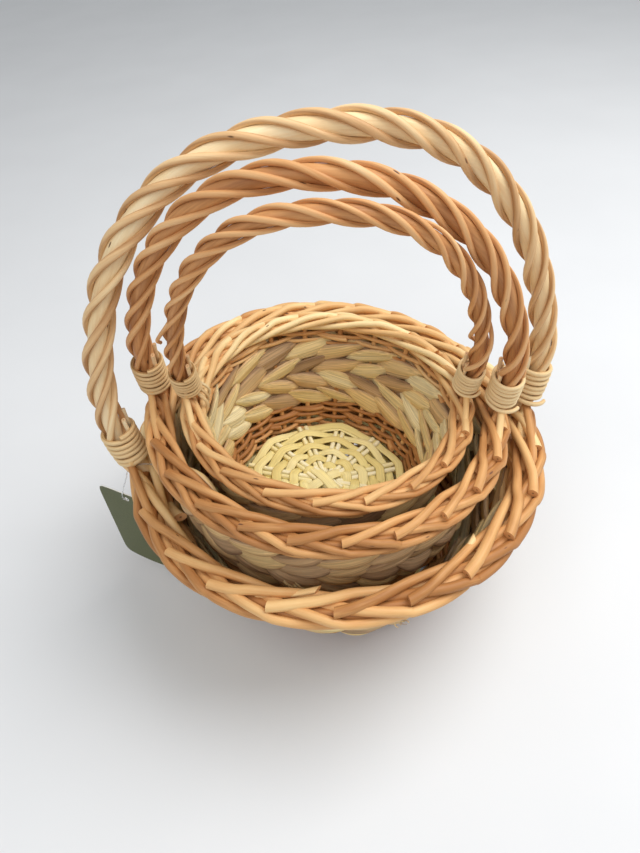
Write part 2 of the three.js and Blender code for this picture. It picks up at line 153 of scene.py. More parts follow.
# %% Camera
CAMERA_PLACE = (-10.1, -366.5, 516.7)
CAMERA_PITCH, CAMERA_ROLL = 44.66, -5.47
CAMERA_LENS, SENSOR_WIDTH = 28.31, 36
NEAREST = 20


def add_object(name, data, place=np.eye(4)):
    """Put an object into the scene, at a place given by a 4 by 4 matrix in metres."""
    thing = bpy.data.objects.new(name, data)
    bpy.context.scene.collection.objects.link(thing)
    thing.matrix_world = Matrix(place.tolist())
    return thing


stand = shifted(*CAMERA_PLACE) @ turned("x", 90 - CAMERA_PITCH) @ turned("z", CAMERA_ROLL)
stand[:3, 3] *= MM
camera = add_object("camera", bpy.data.cameras.new("camera"), stand)
camera.data.lens = CAMERA_LENS
camera.data.sensor_width = SENSOR_WIDTH
camera.data.clip_start = NEAREST * MM
bpy.context.scene.camera = camera
print("camera at", CAMERA_PLACE, "mm with a lens of", CAMERA_LENS, "mm")

# %% [markdown]
# Helpers for material nodes
#
# Every material is a small tree of nodes. One function adds a node, sets or links its inputs, and gives
# back an output, so that each material reads as a list of steps. The others spell out the steps that
# come up again and again. Colours are written as sRGB hex values and turned to linear in one place.

# %% Node and colour helpers
MATERIALS = {}


def linear(hex_colour):
    """An sRGB hex colour as linear red, green, blue and alpha."""
    parts = [int(hex_colour[i:i + 2], 16) / 255 for i in (1, 3, 5)]
    return [p / 12.92 if p <= 0.04045 else ((p + 0.055) / 1.055) ** 2.4 for p in parts] + [1]


def new_material(slot, name):
    """Make a material for a slot, and return its empty node tree."""
    material = bpy.data.materials.new(name)
    material.use_nodes = True
    material.node_tree.nodes.clear()
    MATERIALS[slot] = material
    return material.node_tree


def step(tree, kind, inputs, output=0, **options):
    """Add a node, set its options, set or link its inputs, and return one of its outputs."""
    node = tree.nodes.new("ShaderNode" + kind)
    for option, value in options.items():
        setattr(node, option, value)
    for key, value in inputs.items():
        if isinstance(value, bpy.types.NodeSocket):
            tree.links.new(value, node.inputs[key])
        else:
            node.inputs[key].default_value = value
    return node.outputs[output]


def surface(tree, inputs):
    """Add the material's shader, and join it to the material's output."""
    output = tree.nodes.new("ShaderNodeOutputMaterial")
    tree.links.new(step(tree, "BsdfPrincipled", inputs), output.inputs["Surface"])


def ramp(tree, stops, factor):
    """Colours along a factor, given as stops of a position and a hex colour."""
    colours = step(tree, "ValToRGB", {"Fac": factor})
    elements = colours.node.color_ramp.elements
    while len(elements) < len(stops):
        elements.new(0.5)
    for element, (position, colour) in zip(elements, stops):
        element.position = position
        element.color = linear(colour)
    return colours


# %% Helpers for patterns and sums
def attribute(tree, name, output="Fac"):
    """A value that rides on the mesh."""
    return step(tree, "Attribute", {}, output, attribute_name=name)


def stretched(tree, grain, across, along):
    """Places scaled so that a pattern is so many millimetres wide and so many long."""
    return step(tree, "Mapping", {"Vector": grain, "Scale": (1 / across, 1 / across, 1 / along)})


def noise(tree, grain, size, detail, roughness=0.5):
    """Cloudy noise, with the width and the length of its clouds in millimetres."""
    place = stretched(tree, grain, *size)
    return step(tree, "TexNoise", {"Vector": place, "Scale": 1.0, "Detail": detail, "Roughness": roughness})


def weighed(tree, value, share, rest):
    """A value times its share, plus the rest."""
    return step(tree, "Math", {0: value, 1: share, 2: rest}, operation="MULTIPLY_ADD")


def mixed(tree, factor, first, second):
    """The first colour where the factor is 0, and the second where it is 1."""
    return step(tree, "Mix", {0: factor, 6: first, 7: second}, 2, data_type="RGBA")


def bump(tree, height, strength, depth):
    """A bumpy normal. The depth is in millimetres."""
    return step(tree, "Bump", {"Height": height, "Strength": strength, "Distance": depth * MM})


# %% [markdown]
# Peeled willow
#
# Buff willow is boiled in its bark and then peeled. The tannin leaves the bare rod orange-tan, from
# cream to brown on one and the same rod, with a smooth satin skin, faint streaks along it, and small
# dark buds. The cut end shows paler wood round a soft brown pith. Three facts ride on the mesh as
# attributes: grain, a place in millimetres along the strand's own axes; tone, which differs from rod to
# rod; and cut, which is 1 on a cut face and 2 at its middle. Noise stretched along the grain gives the
# streaks. The same function makes all three tints of willow.

# %% Willow
STREAK, STREAK_SHARE = (1.1, 26), 0.3
MOTTLE, MOTTLE_SHARE = (9, 45), 0.75
TONE_SHARE, TONE_START = 0.62, -0.17
BUD_SPACING = (9, 34)
BUD_EDGE = [(0.045, "#FFFFFF"), (0.075, "#000000")]
BUD_HEIGHT = -1.5
WOOD_START, WOOD_END, PITH_START = 0.5, 0.86, 0.94
SATIN = {"To Min": 0.42, "To Max": 0.6}


def willow(name, stops, cut_colour, pith_colour, bud_colour):
    """Peeled willow: satin, streaked along the rod, with buds and a pithy cut end."""
    tree = new_material(name, name)
    grain = attribute(tree, "grain", "Vector")
    streaks = noise(tree, grain, STREAK, 4.0, 0.6)
    mottle = noise(tree, grain, MOTTLE, 3.0)
    shade = weighed(tree, attribute(tree, "tone"), TONE_SHARE, TONE_START)
    shade = weighed(tree, mottle, MOTTLE_SHARE, shade)
    shade = weighed(tree, streaks, STREAK_SHARE, shade)
    skin = ramp(tree, stops, shade)

    spots = stretched(tree, grain, *BUD_SPACING)
    bud = ramp(tree, BUD_EDGE, step(tree, "TexVoronoi", {"Vector": spots, "Scale": 1.0}))
    budded = mixed(tree, bud, skin, linear(bud_colour))

    cut = attribute(tree, "cut")
    half = step(tree, "Math", {0: cut, 1: 0.5}, operation="MULTIPLY")
    wood = [(WOOD_START, cut_colour), (WOOD_END, cut_colour), (PITH_START, pith_colour)]
    is_cut = step(tree, "Math", {0: cut, 1: 0.5}, operation="GREATER_THAN")
    colour = mixed(tree, is_cut, budded, ramp(tree, wood, half))

    relief = weighed(tree, bud, BUD_HEIGHT, streaks)
    gloss = step(tree, "MapRange", {"Value": streaks} | SATIN)
    surface(tree, {"Base Color": colour, "Roughness": gloss, "Normal": bump(tree, relief, 0.35, 0.5),
                   "IOR": 1.45, "Specular IOR Level": 0.4})


BUFF = [(0.2, "#F8DCA4"), (0.45, "#EBC083"), (0.7, "#DAA468"), (0.95, "#AE7642")]
BROWN = [(0.2, "#F2D2A2"), (0.45, "#E4B47E"), (0.7, "#D3985F"), (0.95, "#A66F42")]
PALE = [(0.2, "#FCECC6"), (0.45, "#F2D5A4"), (0.7, "#DFB582"), (0.95, "#B8895A")]

willow("buff_willow", BUFF, "#D9A36B", "#8A5A35", "#6E4529")
willow("brown_willow", BROWN, "#E0B483", "#7B4B2B", "#5A3520")
willow("pale_willow", PALE, "#E6C79A", "#8A6038", "#6E4A2C")
print("willow tints:", list(MATERIALS))

# %% [markdown]
# Cane, flat splits and dried leaf
#
# The bindings are centre cane: the stripped core of rattan, even and pale, with fine parallel pores.
# The floor is woven of flat splits shaved from a thicker stem, creamy yellow-green and fibrous. The
# wide band is dried leaf, soft blades laid together and twisted, matt, deeply ribbed lengthwise, and
# straw, tan or grey-brown from stitch to stitch. All three are one recipe with other numbers: ribs
# along the grain, in colour and in relief, over a tone that changes from strand to strand.

# %% Fibrous plant materials
PATCH, PATCH_SHARE = (8, 40), 0.4
RIB_LIGHT = 1.08


def fibre(slot, name, stops, rib, relief, roughness, depth, tone_share=0.8):
    """A ribbed plant fibre. The rib is given by its width and length in millimetres."""
    tree = new_material(slot, name)
    grain = attribute(tree, "grain", "Vector")
    ribs = noise(tree, grain, rib, 3.0, 0.55)
    patchy = weighed(tree, noise(tree, grain, PATCH, 2.0), PATCH_SHARE, -PATCH_SHARE / 2)
    shade = weighed(tree, attribute(tree, "tone"), tone_share, patchy)
    lines = step(tree, "MapRange", {"Value": ribs, "From Min": 0.3, "From Max": 0.7,
                                    "To Min": 1 - depth, "To Max": RIB_LIGHT})
    colour = step(tree, "VectorMath", {0: ramp(tree, stops, shade), "Scale": lines}, operation="SCALE")
    surface(tree, {"Base Color": colour, "Roughness": roughness, "Normal": bump(tree, ribs, relief, 0.6),
                   "IOR": 1.45, "Specular IOR Level": 0.3})


LEAF_TONES = [(0.0, "#FFF0C0"), (0.3, "#F8DC9C"), (0.5, "#EECB92"), (0.75, "#D0AE86"), (1.0, "#9A7A5A")]
CANE_TONES = [(0.0, "#F6DCAA"), (0.75, "#E8C48E"), (1.0, "#B08652")]
SPLIT_TONES = [(0.0, "#FFF6D0"), (0.2, "#FCEEB2"), (0.5, "#F4E298"), (1.0, "#E4CC80")]

fibre("dried_leaf", "dried_leaf", LEAF_TONES, (1.0, 70), 0.9, 0.7, 0.36, 0.95)
fibre("cane", "centre_cane", CANE_TONES, (0.45, 60), 0.4, 0.5, 0.16)
fibre("base_split", "flat_split", SPLIT_TONES, (0.8, 35), 0.4, 0.6, 0.14)
print("slots so far:", list(MATERIALS))

# %% [markdown]
# Card and nylon
#
# The tag is matt card, olive green on both faces and white where it was cut, with the faint cloudiness
# of pressed fibres. It hangs on clear nylon monofilament, which is almost as clear as glass but softer,
# so its highlights are broader. Both are small in the render, so one soft noise is enough for each.

# %% Card and nylon
CARD_GREENS = [(0.3, "#4A4F28"), (0.7, "#575C30")]
NYLON_HAZE = {"To Min": 0.08, "To Max": 0.22}

tree = new_material("tag_card", "printed_card")
cloud = step(tree, "TexNoise", {"Vector": attribute(tree, "grain", "Vector"), "Scale": 0.6, "Detail": 5.0})
paper = mixed(tree, attribute(tree, "cut"), ramp(tree, CARD_GREENS, cloud), linear("#F4F4EC"))
surface(tree, {"Base Color": paper, "Roughness": 0.5, "IOR": 1.5, "Normal": bump(tree, cloud, 0.15, 0.2)})

tree = new_material("tag_nylon", "nylon_monofilament")
drawn = step(tree, "TexNoise", {"Vector": attribute(tree, "grain", "Vector"), "Scale": 0.8, "Detail": 2.0})
haze = step(tree, "MapRange", {"Value": drawn} | NYLON_HAZE)
surface(tree, {"Base Color": linear("#F2F5F6"), "Roughness": haze, "IOR": 1.53, "Transmission Weight": 0.8})
print("slots:", list(MATERIALS))

# %% [markdown]
# A strand
#
# Everything in a basket is a strand: a rod, a split or a twist of leaf that follows a line. A curve
# object with a bevel could draw one, but it can't be oval here and round there, ribbed, or cut off at a
# slant. So a strand is a ring of points carried along its line. Many strands of one material are
# gathered into one mesh, and the attributes that the materials read are written while it is made.

# %% Lines and faces
UP = (0, 0, 1)


def smooth(keys, steps):
    """A smooth curve through key values, with a number of steps from each to the next."""
    keys = np.asarray(keys, float)
    ends = np.vstack([2 * keys[0] - keys[1], keys, 2 * keys[-1] - keys[-2]])
    a, b, c, d = ends[:-3], ends[1:-2], ends[2:-1], ends[3:]
    t = (np.arange(steps) / steps)[:, None, None]
    curve = 2 * b + (c - a) * t + (2 * a - 5 * b + 4 * c - d) * t**2 + (3 * b - a - 3 * c + d) * t**3
    return np.vstack([0.5 * curve.transpose(1, 0, 2).reshape(-1, keys.shape[1]), keys[-1]])


def polar(radius, azimuth, height):
    """Points at a radius and height round the basket's axis. The azimuth is in degrees."""
    turn = np.radians(azimuth)
    return np.stack(np.broadcast_arrays(radius * np.cos(turn), radius * np.sin(turn), height), -1)


def run_along(line):
    """The distance of each point of a line from its start."""
    return np.concatenate([[0], np.cumsum(np.linalg.norm(np.diff(line, axis=0), axis=1))])


def ring_faces(rings, around):
    """Four-sided faces that join each ring of points to the next."""
    i, j = np.meshgrid(np.arange(rings - 1), np.arange(around), indexing="ij")
    k = (j + 1) % around
    corners = [i * around + j, i * around + k, (i + 1) * around + k, (i + 1) * around + j]
    return np.stack(corners, -1).reshape(-1, 4)


# %% Gather strands
GRAIN_RANGE = 4000
EDGE_SHADE_POWER = 5

rng = np.random.default_rng(20)


class Weave:
    """Gathers strands that become one mesh."""

    def __init__(self):
        self.rows, self.faces, self.count = [], [], 0

    def add(self, points, grain, tone, cut, faces):
        """Add points, as rows with their grain, tone and cut, and the faces between them."""
        rows = np.empty((len(points), 8))
        rows[:, :3], rows[:, 3:6], rows[:, 6], rows[:, 7] = points, grain, tone, cut
        self.rows.append(rows)
        self.faces.extend((faces + self.count).tolist())
        self.count += len(points)

    def strand(self, line, outward, wide, deep, tone, sides=10, section=None, slants=(0, 0), edge=0.0):
        """Add a strand: its line, the direction its depth faces, and its half width and half depth.

        The section is round, or rows of places across and up on a scale from -1 to 1. The slants say
        how far its cut ends lean, and the tone grows by the edge value towards both edges: painted shade
        where the strand meets its neighbours.
        """
        count = len(line)
        ahead = np.gradient(line, axis=0)
        ahead /= np.linalg.norm(ahead, axis=1, keepdims=True)
        outward = np.broadcast_to(outward, line.shape).astype(float)
        outward = outward - (outward * ahead).sum(1, keepdims=True) * ahead
        outward /= np.linalg.norm(outward, axis=1, keepdims=True)
        side = np.cross(outward, ahead)

        if section is None:
            angle = np.linspace(0, 2 * np.pi, sides, endpoint=False)
            section = np.stack([np.cos(angle), np.sin(angle)], -1)
        sides = len(section)
        x = np.broadcast_to(wide, count)[:, None, None] * section[None, :, :1]
        y = np.broadcast_to(deep, count)[:, None, None] * section[None, :, 1:]
        rings = line[:, None] + side[:, None] * x + outward[:, None] * y
        rings[0] += ahead[0] * x[0] * slants[0]
        rings[-1] += ahead[-1] * x[-1] * slants[1]

        offset = rng.uniform(0, GRAIN_RANGE, 3)
        grain = np.concatenate([x, y, np.broadcast_to(run_along(line)[:, None, None], x.shape)], 2)
        tone = np.broadcast_to(tone, count)[:, None] + edge * np.abs(section[:, 0]) ** EDGE_SHADE_POWER
        faces = ring_faces(count, sides)
        self.add(rings.reshape(-1, 3), grain.reshape(-1, 3) + offset, tone.ravel(), 0, faces)

        j = np.arange(sides)
        fan = np.stack([j, (j + 1) % sides, np.full(sides, sides)], -1)
        for end, order in ((0, -1), (-1, 1)):
            face = np.vstack([rings[end], rings[end].mean(0)])
            place = np.vstack([grain[end], grain[end].mean(0)]) + offset
            self.add(face, place, tone[end, 0], np.append(np.ones(sides), 2), fan[:, ::order])


# %% Make a piece
def make_piece(weave, owner, name, slot, node=None):
    """Make a weave's mesh in the frame's metres, hang it on its body, and hide the CAD part it replaces."""
    name = f"{owner.name}_{name}"
    rows = np.vstack(weave.rows)
    points = rows[:, :3] @ owner.place[:3, :3].T + owner.place[:3, 3]
    mesh = bpy.data.meshes.new(name)
    mesh.from_pydata((points * MM).tolist(), [], weave.faces)
    facts = (("grain", "FLOAT_VECTOR", "vector", slice(3, 6)), ("tone", "FLOAT", "value", 6),
             ("cut", "FLOAT", "value", 7))
    for fact, kind, key, columns in facts:
        layer = mesh.attributes.new(fact, kind, "POINT")
        layer.data.foreach_set(key, rows[:, columns].astype(np.float32).ravel())
    mesh.shade_smooth()
    mesh.materials.append(MATERIALS[slot])
    thing = add_object(name, mesh)
    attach(thing, owner.name)
    if node:
        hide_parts(f"{owner.name}_{node}")
    print(f"{name}: {len(mesh.polygons)} faces")


# %% [markdown]
# Floor
#
# The floor is begun with a cross of sticks that is tied down and fanned out in pairs. Flat splits are
# woven round it in rings, over one pair and under the next, so that each ring is a many-sided loop and
# neighbouring rings look like a checkerboard. Strands with an oval section give both. Only the small
# basket's floor is seen in the photograph; the other two are made the same way.

# %% Floor sticks
SPOKE_PAIRS = 12
STICK, STICK_GAP = 4.2, 0.5
STICK_START, STICK_MARGIN = 9, 5
CROSS_STICK, CROSS_LAYER, CROSS_DROP = 3.8, 3, 1
FLOOR_MIDDLE = 6.2
FLOOR_EYE = 16


def base_sticks(basket):
    """Pairs of round sticks, fanned out from a crossing of two layers in the middle."""
    weave = Weave()
    reach = basket.foot_radius - STICK_MARGIN
    for spoke in range(SPOKE_PAIRS):
        azimuth = 360 / SPOKE_PAIRS * (spoke + 0.5)
        for side in (-1, 1):
            aside = side * (STICK + STICK_GAP) / 2
            run = np.linspace(STICK_START + 2 * rng.random(), reach, 14)
            spread = np.degrees(aside * (0.8 + 0.5 * run / reach) / run)
            line = polar(run, azimuth + spread, FLOOR_MIDDLE)
            weave.strand(line, UP, STICK / 2, STICK / 2, rng.uniform(-0.2, 0.3), sides=8)
    for across in (-1, 0, 1):
        for layer in (0, 1):
            height = FLOOR_MIDDLE - CROSS_DROP + CROSS_LAYER * layer
            line = np.array([[end * FLOOR_EYE, across * STICK, height] for end in (-1, 1)])
            line = line @ turned("z", 90 * layer + 45)[:3, :3].T
            weave.strand(line, UP, CROSS_STICK / 2, CROSS_STICK / 2, rng.uniform(0, 0.3))
    make_piece(weave, basket, "floor_sticks", "base_split", "base_sticks")


# %% Floor splits
SPLIT_WIDTH, SPLIT_THICKNESS, SPLIT_MARGIN = 7.6, 1.3, 8
SPLIT_OVERLAP = 50
STEPS_PER_SPOKE = 8
PATCHES = 60
EYE_WIDTH, EYE_THICKNESS = 9.2, 1.2


def base_weave(basket):
    """Rings of flat splits, over one pair of sticks and under the next, and two straps over the eye."""
    weave = Weave()
    pair = 360 / SPOKE_PAIRS
    radii = np.linspace(FLOOR_EYE + 2, basket.foot_radius - SPLIT_MARGIN, basket.floor_rings)
    for ring, radius in enumerate(radii):
        start = rng.uniform(0, 360)
        azimuth = start + np.arange(0, 360 + SPLIT_OVERLAP, pair / STEPS_PER_SPOKE)
        wave = np.cos(np.radians((azimuth - pair / 2) * SPOKE_PAIRS / 2) + ring * np.pi)
        lift = np.sign(wave) * np.abs(wave) ** 0.7 * (STICK / 2 + SPLIT_THICKNESS / 2 - 0.5)
        corner = 0.985 / np.cos(np.radians((azimuth - pair / 2) % pair - pair / 2))
        drift = np.linspace(-1.2, 1.2, len(azimuth))
        climb = np.linspace(0, 0.8, len(azimuth))
        line = polar(radius * corner + drift, azimuth, FLOOR_MIDDLE + lift + climb)
        patch = rng.uniform(0, 1, PATCHES)[np.arange(len(azimuth)) // (2 * STEPS_PER_SPOKE)]
        tone = patch * 0.3 + rng.uniform(0.25, 0.6)
        wide = SPLIT_WIDTH / 2 * (1 + 0.08 * np.sin(np.radians(azimuth * 2 + ring * 40)))
        weave.strand(line, UP, wide, SPLIT_THICKNESS / 2, tone)
    for turn in (45, 135):
        crown = FLOOR_TOP - 0.6 + turn / 200
        keys = [(-FLOOR_EYE - 3, 0, FLOOR_MIDDLE), (-10, 0, FLOOR_TOP - 1.2), (0, 0, crown),
                (10, 0, FLOOR_TOP - 1.2), (FLOOR_EYE + 3, 0, FLOOR_MIDDLE)]
        line = smooth(keys, 5) @ turned("z", turn - 10)[:3, :3].T
        weave.strand(line, UP, EYE_WIDTH / 2, EYE_THICKNESS / 2, rng.uniform(0, 0.4))
    make_piece(weave, basket, "floor_splits", "base_split", "base_weave")


for basket in BASKETS:
    base_sticks(basket)
    base_weave(basket)

# %% [markdown]
# Willow rows
#
# Below and above the leaf, the wall is randed: each rod passes in front of one stake and behind the
# next, and each row takes the opposite side from the row below. A closed ring for each row would be
# simpler, but a rod has a thick butt and a thin tip. So a row is made of two rods, and a butt end pokes
# out inside the basket where each of them begins.

# %% Randed rows of willow
STEPS_PER_STAKE = 8
RODS_PER_ROW = 2
ROD_OVERLAP = 1.6
SWING = 0.72
ROD_TAPER = 0.16
UNEVEN = (0.9, 1.06)
UPPER_ROWS = 4
BUTT_LENGTH, BUTT_TUCK, BUTT_SLANT = 0.7, 1.3, 0.4
LOWER_START, LOWER_SHADE, UPPER_SHADE = 0.8, 0.6, 0.1
BORDER_LIFT = 1.2


def wall_radius(basket, height):
    """Radius of the middle of the wall at a height above the basket's foot."""
    heights = [0, basket.waist_height, basket.middle]
    return np.interp(height, heights, [basket.foot_radius, basket.waist_radius, basket.rim_radius])


def stake_wave(basket, azimuth, flip):
    """Runs from -1, inside a stake, to 1, outside the next. It is flattened where it passes a stake."""
    wave = np.sin(np.radians(azimuth * basket.stakes / 2)) * (-1) ** flip
    return np.sign(wave) * np.abs(wave) ** 0.75


def randing(basket, piece, bottom, top, rows, side, shade):
    """Rows of single rods from one height to another."""
    weave = Weave()
    pitch = (top - bottom) / rows
    for row in range(rows):
        height = bottom + (row + 0.5) * pitch
        start = rng.uniform(0, 360)
        for part in range(RODS_PER_ROW):
            first = start + part * 360 / RODS_PER_ROW
            last = first + 360 / RODS_PER_ROW + ROD_OVERLAP * basket.spacing
            azimuth = np.arange(first, last, basket.spacing / STEPS_PER_STAKE)
            share = np.linspace(0, 1, len(azimuth))
            thick = pitch * (basket.packing - ROD_TAPER * share) * rng.uniform(*UNEVEN)
            swing = (basket.stake / 2 + thick) * SWING
            butt = np.exp(-((azimuth - first) / (BUTT_LENGTH * basket.spacing)) ** 2)
            out = swing * stake_wave(basket, azimuth, row + side) - butt * thick * BUTT_TUCK
            waves = np.sin(np.radians(azimuth * 3 + 50 * row)) + np.sin(np.radians(azimuth * 7 + 110 * row))
            wander = 0.12 * pitch * waves + pitch * 0.3 * (share - 0.5)
            level = np.maximum(height + wander - butt * pitch * 0.15, thick + 0.2)
            line = polar(wall_radius(basket, height) + out, azimuth, level)
            tone = rng.uniform(0.0, 0.6) + shade
            weave.strand(line, polar(1.0, azimuth, 0.0), thick, thick, tone, sides=8, slants=(BUTT_SLANT, 0))
    make_piece(weave, basket, piece, "buff_willow", f"{piece}_willow_band")


for basket in BASKETS:
    band_top = basket.height - basket.border_height - BORDER_LIFT
    randing(basket, "lower", LOWER_START, basket.waist_height, basket.lower_rows, 0, LOWER_SHADE)
    randing(basket, "upper", basket.leaf_top, band_top, UPPER_ROWS, 1, UPPER_SHADE)

# %% [markdown]
# Leaf rows
#
# The wide band is twined: two flat twists of dried leaf work as a pair and cross between every two
# stakes. So from either side one sees a row of slanted stitches, each rising from behind the last and
# diving behind the next, with another row above it. The two lower rows slant one way and the two above
# them the other, which makes a herringbone; the large basket's fifth row turns back. A stitch could be
# part of one long tube, but then it bulges like a pod. Here each one is its own folded blade: a flat
# pointed strand, nearly two stake spacings long, whose section has one ridge and two sharp creases.
# Inside, the leaf is painted lighter towards the left and the right: painted light on the side walls.

# %% Folded blades
BLADE_POINTS = 22
BLADE_DEPTH = 3.6
BLADE_STEPS = 19
BLADE_WIDTH, BLADE_RISE, BLADE_UNEVEN = (0.56, 0.72), (0.46, 0.62), (0.9, 1.12)
BLADE_DIVE = 4.6
# Blades are darkened at both edges: painted shade where the stitches tuck under each other.
BLADE_EDGE_SHADE = 0.5
# Inner blades are painted lighter towards the left and right: painted light on the side walls.
PAINTED_SIDE_LIGHT = 0.3


def folded_section():
    """A flat section with a ridge and two creases on its outer side."""
    angle = np.linspace(0, 2 * np.pi, BLADE_POINTS, endpoint=False)
    x, y = np.cos(angle), np.sin(angle)
    ridge = rng.uniform(-0.35, 0.35)
    roof = np.where(x < ridge, (x + 1) / (1 + ridge), (1 - x) / (1 - ridge))
    top = 0.55 * np.sqrt(np.clip(1 - x**2, 0, 1)) + 0.5 * roof**0.8
    for crease in (rng.uniform(-0.75, -0.2), rng.uniform(0.1, 0.75)):
        top -= rng.uniform(0.2, 0.45) * np.exp(-((x - crease) / 0.1) ** 2)
    return np.stack([x, np.where(y > 0, top, 0.7 * y)], -1)


def blade(weave, basket, azimuth, height, face, slant, pitch):
    """One stitch over a stake, on the outside of the wall for face 1 or on the inside for -1."""
    # Outer blades are darker, partly their own grey-brown and partly painted shade in the gap between
    # baskets.
    shade = basket.leaf_shade if face > 0 else -PAINTED_SIDE_LIGHT * math.cos(math.radians(azimuth)) ** 2
    tone = basket.leaf_spread * rng.uniform() ** 1.4 + shade
    share = np.linspace(-1, 1, BLADE_STEPS)
    reach = basket.reach * basket.spacing * rng.uniform(*BLADE_UNEVEN)
    width = pitch * rng.uniform(*BLADE_WIDTH)
    bend = rng.uniform(-0.1, 0.1) * pitch
    rise = slant * pitch * rng.uniform(*BLADE_RISE) * share + bend * (1 - share**2)
    dive = basket.stake / 2 + rng.uniform(0.2, 1.2) - BLADE_DIVE * share**2 + 0.5 * share * slant
    radius = wall_radius(basket, height + rise) + face * dive
    line = polar(radius, azimuth + reach * share, height + rise)
    fullest = rng.uniform(-0.25, 0.25)
    taper = np.abs((share - fullest) / np.where(share > fullest, 1 - fullest, 1 + fullest))
    wide = width * np.clip(1 - taper**1.7, 0.03, 1) ** 0.85
    deep = BLADE_DEPTH * np.clip(1 - np.abs(share) ** 3, 0.15, 1) * rng.uniform(0.7, 1.1)
    lean = rng.normal(0, 0.2) + 0.3 * slant * share
    outward = face * polar(1.0, azimuth + reach * share, lean)
    weave.strand(line, outward, wide, deep, tone, section=folded_section(), edge=BLADE_EDGE_SHADE)


# %% Rows of leaf
SLANTS = (1, 1, -1, -1, 1)
LEAF_CREST = 2.5
CORE_WIDTH, CORE_THICKNESS, CORE_SHADE_TONE = 0.54, 1.6, 0.9


def row_core(weave, basket, height, width):
    """The hidden middle of a twist, which runs round behind its row's stitches, dark as painted shade."""
    azimuth = np.arange(0, 363, 3)
    slope = wall_radius(basket, height + 1) - wall_radius(basket, height)
    line = polar(wall_radius(basket, height), azimuth, height)
    weave.strand(line, polar(1.0, azimuth, -slope), width, CORE_THICKNESS / 2, CORE_SHADE_TONE, sides=8)


def leaf_rows(basket):
    weave = Weave()
    pitch = (basket.leaf_top + LEAF_CREST - basket.waist_height) / basket.leaf_rows
    for row in range(basket.leaf_rows):
        middle = basket.waist_height + (row + 0.5) * pitch
        row_core(weave, basket, middle, CORE_WIDTH * pitch)
        for number in range(basket.stakes):
            for face in (1, -1):
                azimuth = (number + 0.5) * basket.spacing + rng.uniform(-0.08, 0.08) * basket.spacing
                height = middle + rng.uniform(-0.05, 0.05) * pitch
                blade(weave, basket, azimuth, height, face, -face * SLANTS[row], pitch)
    make_piece(weave, basket, "leaf", "dried_leaf", "leaf_band")


for basket in BASKETS:
    leaf_rows(basket)

# %% [markdown]
# Stakes and border
#
# The stakes stand in the wall and are turned down at the top into the border. From above, the border
# shows one thick rod for each stake: it starts at a square cut end on the outer edge, crosses the top
# on its way inwards, and dives down the inner face. Between two of them, another rod comes up from
# inside, bends over the outer edge just below the next cut end, and runs along the outside until the
# next one covers it. A third one fills the middle. Their paths could be worked out from the weaver's
# moves, but a few key places for each, set against the photograph, are simpler: how many stakes
# along, how far out from the middle of the border, and how high above it, for the large border, and
# scaled for the other two. Then come its size, the slants of its ends, its shade, and how far its start
# is tucked down at the back. There the willow is painted a little lighter: painted light from behind.

# %% The rods of the border
TOP_ROD = [(0.0, 5.4, 4.8), (0.35, 2.0, 6.1), (0.7, -2.2, 6.3), (1.0, -5.6, 5.4), (1.35, -8.4, 3.2),
           (1.75, -9.4, -0.2), (2.2, -8.4, -3.6), (2.7, -5.0, -6.2), (3.1, -1.0, -7.6)]
OUTER_ROD = [(-0.45, -5.2, -3.4), (-0.05, -2.4, 0.0), (0.3, 2.8, 2.9), (0.6, 6.0, 2.8), (0.88, 8.6, 1.2),
             (1.0, 9.4, -0.4), (1.15, 9.6, -2.0), (1.6, 8.8, -4.6), (2.05, 6.6, -6.6)]
CORE_ROD = [(0.0, -3.0, -4.0), (0.5, 0.0, -1.6), (1.0, 3.0, -1.4), (1.5, 4.4, -3.4), (1.9, 2.0, -6.0)]
BORDER_RODS = (
    (TOP_ROD, 1.0, (0.25, 0), -0.12, 4.5),
    (OUTER_ROD, 0.95, (0, 0), 0.12, 0),
    (CORE_ROD, 1.0, (0, 0), 0.2, 0),
)
KEY_SCATTER = (0.02, 0.25, 0.2)
TUCK_REACH = 0.7
THICK_END, THIN_END = 1.08, 0.84
PAINTED_BACK_LIGHT = 0.5
STAKE_FOOT = 1.5


def border(basket):
    """The border's rods, and the stakes below it."""
    weave = Weave()
    spacing = basket.spacing
    scale_out = basket.border_width / large.border_width
    scale_up = basket.border_height / large.border_height
    for number in range(basket.stakes):
        start = basket.first_end + number * spacing + rng.uniform(-0.06, 0.06) * spacing
        # Rods towards the back are painted lighter: painted light from behind.
        behind = math.sin(math.radians(start + spacing))
        painted_back_light = PAINTED_BACK_LIGHT * (0.5 + 0.5 * behind)
        for keys, size, slants, shade, tuck in BORDER_RODS:
            thick = basket.border_rod / 2 * size * rng.uniform(*UNEVEN)
            keys = np.array(keys) + rng.normal(0, 1, (len(keys), 3)) * KEY_SCATTER
            keys[:, 2] -= tuck * max(behind, 0) * np.clip(1 - keys[:, 0] / TUCK_REACH, 0, 1)
            stakes_on, out, up = smooth(keys, 5).T
            azimuth = start + stakes_on * spacing
            line = polar(basket.rim_radius + out * scale_out, azimuth, basket.middle + up * scale_up)
            thick = thick * np.linspace(THICK_END, THIN_END, len(line))
            tone = rng.uniform(0.35, 0.95) + shade + basket.rod_shade - painted_back_light
            weave.strand(line, UP, thick, thick, tone, sides=12, slants=slants)
        azimuth = (number + 0.5) * spacing
        heights = np.linspace(STAKE_FOOT, basket.middle, 12)
        line = polar(wall_radius(basket, heights), azimuth, heights)
        thick = basket.stake / 2
        weave.strand(line, polar(1.0, azimuth, 0.0), thick, thick, rng.uniform(0.3, 1), sides=8)
    make_piece(weave, basket, "border_and_stakes", "buff_willow", "stake_frame")


for basket in BASKETS:
    border(basket)

# %% [markdown]
# The handle's line
#
# A bow is a thick rod bent into an arch and pushed down through the border on both sides. It is squarer
# than a half circle and leans a little. The line below repeats the CAD model's: a superellipse drawn in
# at the feet. Places beside the bow are given by a distance along it and an angle from its inner side.

# %% The line of a bow
BOW_POINTS = 48
FOOT_RISE = 80
ROD_CLEARANCE = 0.9


